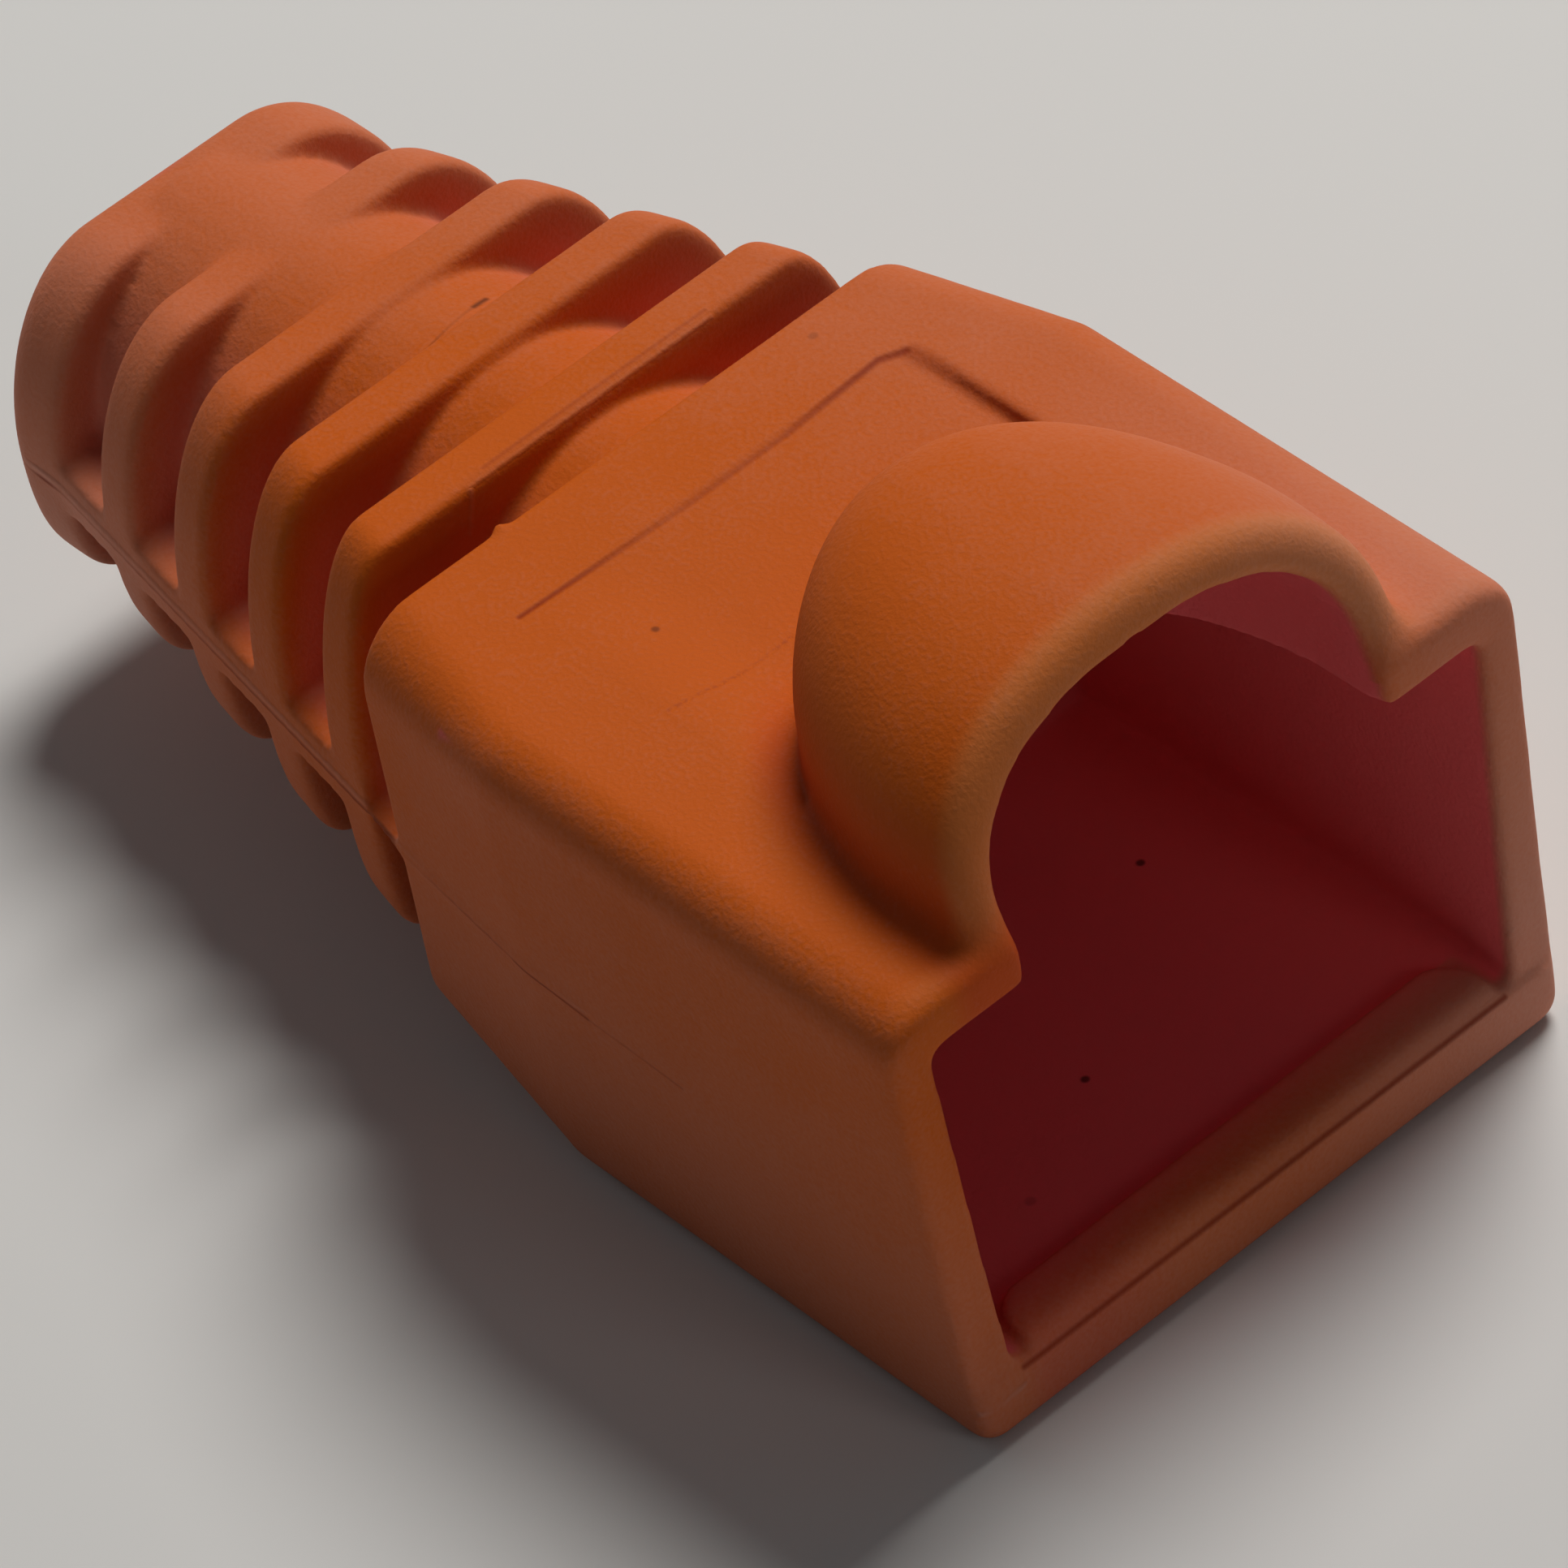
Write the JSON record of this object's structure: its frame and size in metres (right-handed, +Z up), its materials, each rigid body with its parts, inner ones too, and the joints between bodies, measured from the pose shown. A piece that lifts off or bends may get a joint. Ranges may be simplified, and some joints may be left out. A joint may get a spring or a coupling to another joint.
{
  "type": "rj45 strain relief boot",
  "caption": "Moulded boot for a modular network plug: a box-shaped head open at the mouth, a hood over the latch, and a ribbed tail with a cable bore.",
  "frame": {"origin": "under the middle of the boot's length, on the plane of its flat underside and on its middle plane", "axes": "+X out of the plug mouth, +Z up through the latch hood, +Y to the left when looking out of the mouth"},
  "size_m": [0.0268, 0.0138, 0.0137],
  "materials": {
    "soft_pvc": "matte"
  },
  "bodies": {
    "root": {"boot": "soft_pvc"}
  },
  "joints": []
}
